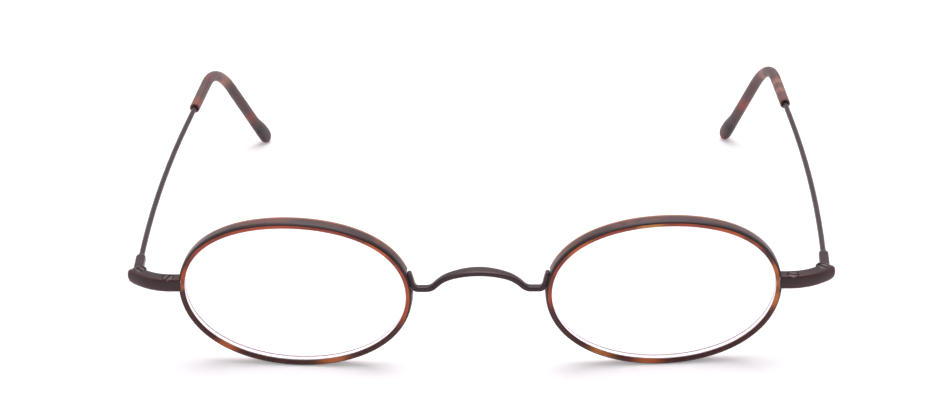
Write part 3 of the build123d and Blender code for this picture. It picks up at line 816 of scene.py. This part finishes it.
TIP_PATCHES = {
    "left": {
        "warm": [(0.10, 0.020, 0.55), (0.18, 0.022, 0.60), (0.42, 0.035, 0.60)],
        "red": [(0.03, 0.020, 0.35), (0.70, 0.035, 0.75), (0.98, 0.020, 0.60)],
        "dark": [(0.885, 0.040, 0.85)],
    },
    "right": {
        "warm": [(0.45, 0.050, 0.60)],
        "red": [(0.03, 0.035, 0.60), (0.27, 0.050, 0.30), (0.77, 0.035, 0.55), (0.98, 0.020, 0.30)],
        "dark": [(0.55, 0.045, 0.30), (0.880, 0.045, 0.90)],
    },
}


def tip_marks(along, facing, patches):
    """Bell curves of the share of the length; the dark ones are weaker on the bulb's outer side."""
    marks = {}
    for name, bells in patches.items():
        middle, width, strength = np.array(bells).T
        amount = bell(along[:, None] - middle, width, strength).sum(axis=1)
        lean = 1.0 if name != "dark" else 0.65 + 0.35 * facing
        marks[name] = np.clip(amount, 0.0, 1.0)[:, None] * lean * np.ones(len(facing))
    return marks


for side, mirror in SIDES.items():
    rings, along, facing = tip_rings()
    marks = tip_marks(along, facing, TIP_PATCHES[side])
    skin_piece(f"{side}_temple_tip", [rings * [mirror, 1, 1]], f"{side}_temple_body", marks=marks)

# %% [markdown]
# The endpiece is a metal bar that runs straight beside the lens and then sweeps back round an arc to a round
# end. Its front is slightly crowned, which is what makes a dull metal bar shade from dark to light. A lug on
# the inner side carries the hinge screw, a slot takes the hinge's eye, and the lower back is cut away for
# the closing block. Each of these is a change in how far the ring's points lie from the bar's middle line.

# %% Endpiece rings
RIM_SIDE = LENS_CENTRE + LENS_WIDTH / 2
BAR_FRONT = 2.2278
BAR_MIDDLE = 0.52
BAR_HALF_DEPTH, BAR_HALF_HEIGHT = 1.2, 1.375
BAR_START, BAR_STRAIGHT = 0.22, 2.0
BAR_BEND_RADIUS = 10.3
BAR_TURN = np.radians(48.0)
BAR_CROWN, BAR_EDGE = 0.26, 0.24
BAR_EDGE_LEAN = np.radians(20.0)
HINGE = np.array([66.2, 6.648])
CLOSING = np.array([RIM_SIDE + 2.7, BAR_FRONT + BAR_HALF_DEPTH])
LUG_RADIUS = 1.4
KNOB_RADIUS, KNOB_ROUND, KNOB_ROUND_LENGTH = 1.3, 1.1, 1.9
KNOB_BEYOND, KNOB_SHIFT = 0.18, 0.10
KNOB_EDGE = 0.62
KNOB_SWELLS_OVER = 3.0
KNOB_EDGE_BEFORE, KNOB_EDGE_AFTER = 1.2, 0.4
SLOT_RADIUS, SLOT_HALF = 1.3, 0.5
BLOCK_END = 4.2
FRONT_WALL, BLOCK_GAP = 0.7, 0.08


def bar_line(distance):
    """Plan of the bar's middle line: straight, then an arc, then straight on; outwards and along it."""
    straight = BAR_STRAIGHT - BAR_START
    angle = np.clip((distance - straight) / BAR_BEND_RADIUS, 0.0, BAR_TURN)
    beyond = np.maximum(distance - straight - BAR_BEND_RADIUS * BAR_TURN, 0.0)
    across = RIM_SIDE + BAR_START + np.minimum(distance, straight)
    across = across + BAR_BEND_RADIUS * np.sin(angle) + beyond * np.cos(angle)
    back = BAR_FRONT + BAR_HALF_DEPTH + BAR_BEND_RADIUS * (1 - np.cos(angle)) + beyond * np.sin(angle)
    outward, along = [np.sin(angle), -np.cos(angle)], [np.cos(angle), np.sin(angle)]
    return [np.stack(pair, axis=-1) for pair in ([across, back], outward, along)]


def circle_reach(offset, radius):
    """Half-chord of a circle at an offset from its centre, and minus infinity outside it."""
    inside = radius**2 - offset**2
    return np.where(inside > 0, np.sqrt(np.maximum(inside, 0.0)), -np.inf)


def slot_reach(to_hinge, outward, along):
    """How far the hinge slot reaches out from the middle line: a circle joined to two open quadrants."""
    half_chord = circle_reach(np.sum(to_hinge * along, axis=1), SLOT_RADIUS)
    circle = np.sum(to_hinge * outward, axis=1) + half_chord
    slope = np.maximum(outward[:, 0], 1e-3)
    fall = np.minimum(outward[:, 1], -1e-3)
    behind = np.minimum((to_hinge[:, 0] + SLOT_RADIUS) / slope, to_hinge[:, 1] / fall)
    inner = np.minimum(to_hinge[:, 0] / slope, (to_hinge[:, 1] - SLOT_RADIUS) / fall)
    return np.maximum(circle, np.maximum(behind, inner))


def bar_rings():
    """Rings along the bar: front and back reach, half height, slot and block step at every station."""
    straight = BAR_STRAIGHT - BAR_START
    knob_at = straight + BAR_BEND_RADIUS * BAR_TURN + KNOB_BEYOND
    step_at = straight + BAR_BEND_RADIUS * np.arcsin((BLOCK_END - BAR_STRAIGHT) / BAR_BEND_RADIUS)
    cap = KNOB_RADIUS * np.sin(np.linspace(0.0, 0.99, 26) * np.pi / 2)
    over_block, to_knob = np.linspace(0, step_at, 30), np.linspace(step_at, knob_at, 110)
    distance = np.concatenate([over_block, to_knob, knob_at + cap[1:]])
    in_block = np.arange(len(distance)) < len(over_block)
    place, outward, along = bar_line(distance)
    to_hinge = HINGE - place
    past_knob = distance - knob_at
    beyond = np.maximum(past_knob, 0.0)
    cap_reach = np.sqrt(np.maximum(KNOB_RADIUS**2 - beyond**2, 0.0))
    near_end = np.clip(past_knob / KNOB_SWELLS_OVER + 1.0, 0.0, 1.0) ** 2
    bar_front = BAR_HALF_DEPTH + near_end * (KNOB_RADIUS + KNOB_SHIFT - BAR_HALF_DEPTH)
    front = np.where(beyond > 0, cap_reach + KNOB_SHIFT, bar_front)
    lug = circle_reach(np.sum(to_hinge * along, axis=1), LUG_RADIUS) - np.sum(to_hinge * outward, axis=1)
    plain = np.where(beyond > 0, cap_reach - KNOB_SHIFT, BAR_HALF_DEPTH)
    back = -np.maximum(plain, lug)
    over = np.clip((past_knob - KNOB_RADIUS + KNOB_ROUND_LENGTH) / KNOB_ROUND_LENGTH, 0.0, 1.0)
    half = BAR_HALF_HEIGHT - KNOB_ROUND * (1 - np.sqrt(1 - over**2))
    slot = np.maximum(np.minimum(slot_reach(to_hinge, outward, along), front - 0.3), back)
    return distance, place, outward, front, back, half, slot, in_block


def bar_skin():
    """The bar's ring points in the drawing, with an edge mark that is 1 along the front's two long edges."""
    distance, place, outward, front, back, half, slot, in_block = bar_rings()
    knob_at = distance[-1] - KNOB_RADIUS
    edge_run = KNOB_EDGE_BEFORE + KNOB_EDGE_AFTER
    near_knob = np.clip((distance - knob_at + KNOB_EDGE_BEFORE) / edge_run, 0.0, 1.0)
    edge = BAR_EDGE + (KNOB_EDGE - BAR_EDGE) * near_knob**2 * (3 - 2 * near_knob)
    edge = np.minimum(edge, (front - back) / 4)
    crown = BAR_CROWN * np.minimum(front - back, 2.0) / 2.0
    first = (half - edge + edge * np.sin(BAR_EDGE_LEAN)) / half
    bend = np.linspace(np.pi / 2, BAR_EDGE_LEAN, 6)
    rise = np.linspace(1.0, -1.0, 15)
    arc_centre = front - crown * first**2 - edge * np.cos(BAR_EDGE_LEAN)
    top_edge = arc_centre[:, None] + edge[:, None] * np.cos(bend)
    top_edge_up = (half - edge)[:, None] + edge[:, None] * np.sin(bend)
    face_up = (first * half)[:, None] * rise[1:-1]
    face = front[:, None] - crown[:, None] * (face_up / half[:, None]) ** 2
    wall = np.where(in_block, FRONT_WALL, back + 0.2 * (front - back))
    step_up = np.where(in_block, BLOCK_GAP, -half)
    step_back = np.where(in_block, FRONT_WALL, back)
    low = np.where(in_block, BLOCK_GAP, np.minimum(-half + 0.05, -SLOT_HALF - 0.05))
    slot_low = np.where(in_block, BLOCK_GAP + 0.02, -np.minimum(SLOT_HALF, half * 0.6))
    slot_high = np.minimum(SLOT_HALF, half * 0.6)
    back_corner = np.minimum(0.06, (front - back) / 5)
    singles = [
        (wall, -half), (step_back, step_up), (back, low), (back, slot_low), (slot, slot_low),
        (slot, slot_high), (back, slot_high), (back, half - back_corner), (back + back_corner, half),
    ]
    rest_out, rest_up = np.moveaxis(np.array(singles), 0, -1)
    out = np.concatenate([top_edge, face, top_edge[:, ::-1], rest_out], axis=1)
    up = np.concatenate([top_edge_up, face_up, -top_edge_up[:, ::-1], rest_up], axis=1)
    plan = place[:, None, :] + out[..., None] * outward[:, None, :]
    rings = np.concatenate([plan, (up + BAR_MIDDLE)[..., None]], axis=-1)
    # Columns 0 to 5 are the top edge, 6 to 18 the face and 19 to 24 the lower edge.
    edge_mark = np.zeros(out.shape[1])
    edge_mark[3:6] = (0.5, 1.0, 0.6)
    edge_mark[18:22] = (0.4, 0.8, 1.0, 0.6)
    return rings, np.ones(len(distance))[:, None] * edge_mark


# %% [markdown]
# The screws sit in counterbored holes. The holes are cut by a Boolean, because a round hole doesn't follow
# the bar's rings; each cutter is a turned shape whose bevelled mouth leaves the dark line round a head.

# %% Cutting the screw holes
WHOLE_TURN = np.linspace(0, 2 * np.pi, 48, endpoint=False)


def turned_rings(centre, radii, heights, angle=WHOLE_TURN):
    """A turned shape: points at the given angles, radii and heights about an upright axis."""
    radii, heights = np.array(radii)[:, None], np.array(heights)[:, None]
    across, back = centre[0] + radii * np.cos(angle), centre[1] + radii * np.sin(angle)
    return np.stack([across, back, heights + np.zeros_like(across)], axis=-1)


BAR_TOP = BAR_MIDDLE + BAR_HALF_HEIGHT
HOLE_DEPTH, MOUTH_DEPTH, CUTTER_ABOVE = 0.56, 0.14, 0.3
HEAD_CLEARANCE = 0.06
HEADS = {"closing": (CLOSING, 1.0), "hinge": (HINGE, 0.95)}
MOUTH_BEYOND_HEAD = {"closing": 0.14, "hinge": 0.20}


def cut_holes(piece, mirror):
    """Take a bevelled counterbore for each screw head out of the piece."""
    for kind, (centre, head) in HEADS.items():
        bore, mouth = head + HEAD_CLEARANCE, head + MOUTH_BEYOND_HEAD[kind]
        heights = [BAR_TOP - HOLE_DEPTH, BAR_TOP - MOUTH_DEPTH, BAR_TOP, BAR_TOP + CUTTER_ABOVE]
        rings = turned_rings(centre, [bore, bore, mouth, mouth], heights) * [mirror, 1, 1]
        cutter_mesh = bpy.data.meshes.new("cutter")
        cutter_mesh.from_pydata(stood(rings.reshape(-1, 3)).tolist(), [], skin_faces(rings, 0, False))
        # The cutter has the edge mark as well, at 0, so the walls of the hole stay unmarked.
        cutter_mesh.attributes.new("edge", "FLOAT", "POINT")
        cutter = linked("cutter", cutter_mesh)
        cut = piece.modifiers.new("hole", "BOOLEAN")
        cut.operation = "DIFFERENCE"
        cut.solver = "EXACT"
        cut.object = cutter
        bpy.context.view_layer.update()
        result = piece.evaluated_get(bpy.context.evaluated_depsgraph_get())
        holed = bpy.data.meshes.new_from_object(result)
        piece.modifiers.clear()
        piece.data = holed
        bpy.data.objects.remove(cutter)
    piece.data.set_sharp_from_angle(angle=np.radians(32.0))


for side, mirror in SIDES.items():
    rings, edge_mark = bar_skin()
    endpiece = skin_piece(f"{side}_endpiece", [rings * [mirror, 1, 1]], marks={"edge": edge_mark})
    cut_holes(endpiece, mirror)
    print(side, "endpiece with holes, faces:", len(endpiece.data.polygons))

# %% [markdown]
# A screw head is a round plate with two half-moons on it; the space between them is the slot. Each half-moon
# is a stack of rings that run along the arc, and the straight side that closes them is the slot's wall. The
# four slots point where they do on the real glasses, since nobody lines screws up.

# %% Screws
SLOT_WIDTH, SLOT_DEPTH, HEAD_EDGE = 0.34, 0.24, 0.08
SHANK_RADIUS, SHANK_LENGTH = 0.5, 2.1
HEAD_BELOW_TOP = {"closing": 0.03, "hinge": 0.08}
HEAD_HEIGHT = {"closing": 0.50, "hinge": 0.44}
SLOT_TURNS = {
    "left_closing_screw": -8.0,
    "right_closing_screw": 68.0,
    "left_hinge_screw": -42.0,
    "right_hinge_screw": -48.0,
}


def half_moon(centre, radius, top, turn):
    """Rings of one half of a slotted head, from the slot's floor up over a small bevel."""
    inset = HEAD_EDGE * np.array([0.0, 0.0, 0.3, 1.0])
    heights = top - np.array([SLOT_DEPTH, HEAD_EDGE, 0.3 * HEAD_EDGE, 0.0])
    start = np.arcsin((SLOT_WIDTH / 2 + inset) / (radius - inset))[:, None]
    angle = start + (np.pi - 2 * start) * np.linspace(0, 1, 30)
    return turned_rings(centre, radius - inset, heights, angle + turn)


for name, degrees in SLOT_TURNS.items():
    side, kind = name.split("_")[:2]
    mirror = SIDES[side]
    turn = np.radians(degrees) * mirror
    centre, radius = HEADS[kind]
    top = BAR_TOP - HEAD_BELOW_TOP[kind]
    under_head = top - HEAD_HEIGHT[kind]
    heights = [top - SHANK_LENGTH, under_head, under_head, top - SLOT_DEPTH]
    plate = turned_rings(centre, [SHANK_RADIUS, SHANK_RADIUS, radius, radius], heights)
    halves = [half_moon(centre, radius, top, turn + beyond) for beyond in (0.0, np.pi)]
    shells = [shell * [mirror, 1, 1] for shell in (plate, *halves)]
    skin_piece(name, shells, sharp_angle=30.0)

# %% [markdown]
# The bridge is one bent strip. Its line is drawn by its heading: constant on straight runs and changing
# evenly round the bends, so the cosine and sine of the heading, added up along the strip, give the line. At
# each end it turns up into a foot that follows the eyewire.

# %% Bridge
BRIDGE_CREST = 4.62
BRIDGE_DIP = 0.95
BRIDGE_BENDS = [(16.0, 0.0, 20.0), (7.0, 20.0, 44.0)]
DEGREE = np.radians(1.0)
DIP_RADIUS, KNEE_RADIUS, KNEE_TURN = 2.2, 0.95, 75.0 * DEGREE
CREST_HALF_DEPTH, DIP_HALF_DEPTH, FOOT_HALF_DEPTH = 1.3, 0.75, 0.9
STRIP_HALF, FOOT_HALF = 0.55, 0.475
FOOT_TOP, FOOT_OUTSIDE, KNEE_OUTSIDE = 4.55, 0.895, 0.875
FOOT_BLEND_RINGS = 12
FOOT_CLOSES_OVER = 0.45
DEPTH_EASES_TO = 9.71
STRIP_SQUARENESS = 3.6
REDDER_EDGES = [(236, 16, 1.0), (40, 12, 0.7)]


def half_bridge_line():
    """From the crest to the top of the left foot: the strip by its heading, then the foot along the rim."""
    radius, start, end = np.array(BRIDGE_BENDS).T * [[1.0], [DEGREE], [DEGREE]]
    side_angle = end[-1]
    drop = np.sum(radius * (np.cos(start) - np.cos(end)))
    fall = BRIDGE_CREST - drop - BRIDGE_DIP - DIP_RADIUS * (1 - np.cos(side_angle))
    reach = np.sum(radius * (np.sin(end) - np.sin(start)))
    dip_across = reach + fall / np.tan(side_angle) + DIP_RADIUS * np.sin(side_angle)
    foot_across = rim_line(np.array([np.pi]), KNEE_OUTSIDE)[0, 0]
    lengths = [*(radius * (end - start)), fall / np.sin(side_angle), DIP_RADIUS * side_angle]
    lengths += [foot_across - KNEE_RADIUS - dip_across, KNEE_RADIUS * KNEE_TURN]
    headings = [0.0, *-end, -side_angle, 0.0, 0.0, KNEE_TURN]
    knots = np.concatenate([[0.0], np.cumsum(lengths)])
    distance = np.linspace(0.0, knots[-1], 320)
    heading = np.interp((distance[1:] + distance[:-1]) / 2, knots, headings)
    step = np.diff(distance)
    across = np.concatenate([[0.0], np.cumsum(step * np.cos(heading))])
    up = BRIDGE_CREST + np.concatenate([[0.0], np.cumsum(step * np.sin(heading))])
    level = rim_line(np.array([np.pi]))[0, 1]
    strip = np.stack([across, np.full_like(across, level), up], axis=-1)
    foot_up = np.linspace(up[-1] + 0.15, FOOT_TOP, 60)
    turns = np.linspace(np.pi, np.pi - 0.5, 400)
    foot_turn = np.interp(foot_up, rim_line(turns, FOOT_OUTSIDE)[:, 2], turns)
    foot = rim_line(foot_turn, FOOT_OUTSIDE)
    return strip, foot


def bridge_rings():
    """Rings along the whole bridge, each a rounded oblong that is deepest at the crest."""
    strip, foot = half_bridge_line()
    line = np.concatenate([strip, foot])
    share = np.clip(line[:, 0] / DEPTH_EASES_TO, 0.0, 1.0)
    deep = CREST_HALF_DEPTH - (CREST_HALF_DEPTH - DIP_HALF_DEPTH) * share**2 * (3 - 2 * share)
    past_knee = np.arange(len(line)) - len(strip)
    on_foot = np.clip(past_knee / FOOT_BLEND_RINGS + 1, 0, 2) / 2
    deep = deep + (FOOT_HALF_DEPTH - deep) * on_foot
    thick = STRIP_HALF + (FOOT_HALF - STRIP_HALF) * on_foot
    to_end = np.linalg.norm(line - line[-1], axis=1)
    from_round = 1 - np.minimum(to_end / FOOT_CLOSES_OVER, 1.0)
    closing = np.sqrt(np.clip(1 - from_round**2, 0.0004, 1.0))
    deep, thick = deep * (0.4 + 0.6 * closing), thick * closing
    line = np.concatenate([(line * [-1, 1, 1])[:0:-1], line])
    deep, thick = np.concatenate([deep[:0:-1], deep]), np.concatenate([thick[:0:-1], thick])
    ahead = unit(np.gradient(line, axis=0))
    backward = np.array([[0.0, 1.0, 0.0]])
    raised = unit(np.cross(ahead, backward))
    angle = np.linspace(0, 2 * np.pi, 48, endpoint=False)
    power = 2 / STRIP_SQUARENESS
    back_part = np.sign(np.cos(angle)) * np.abs(np.cos(angle)) ** power
    up_part = np.sign(np.sin(angle)) * np.abs(np.sin(angle)) ** power
    rings = carried(line, deep[:, None] * back_part, backward, thick[:, None] * up_part, raised)
    edge = sum(bell(np.degrees(angle) - middle, width, strength) for middle, width, strength in REDDER_EDGES)
    return rings, np.ones(len(line))[:, None] * edge


rings, edge_mark = bridge_rings()
skin_piece("bridge", [rings], sharp_angle=60.0, marks={"edge": edge_mark})
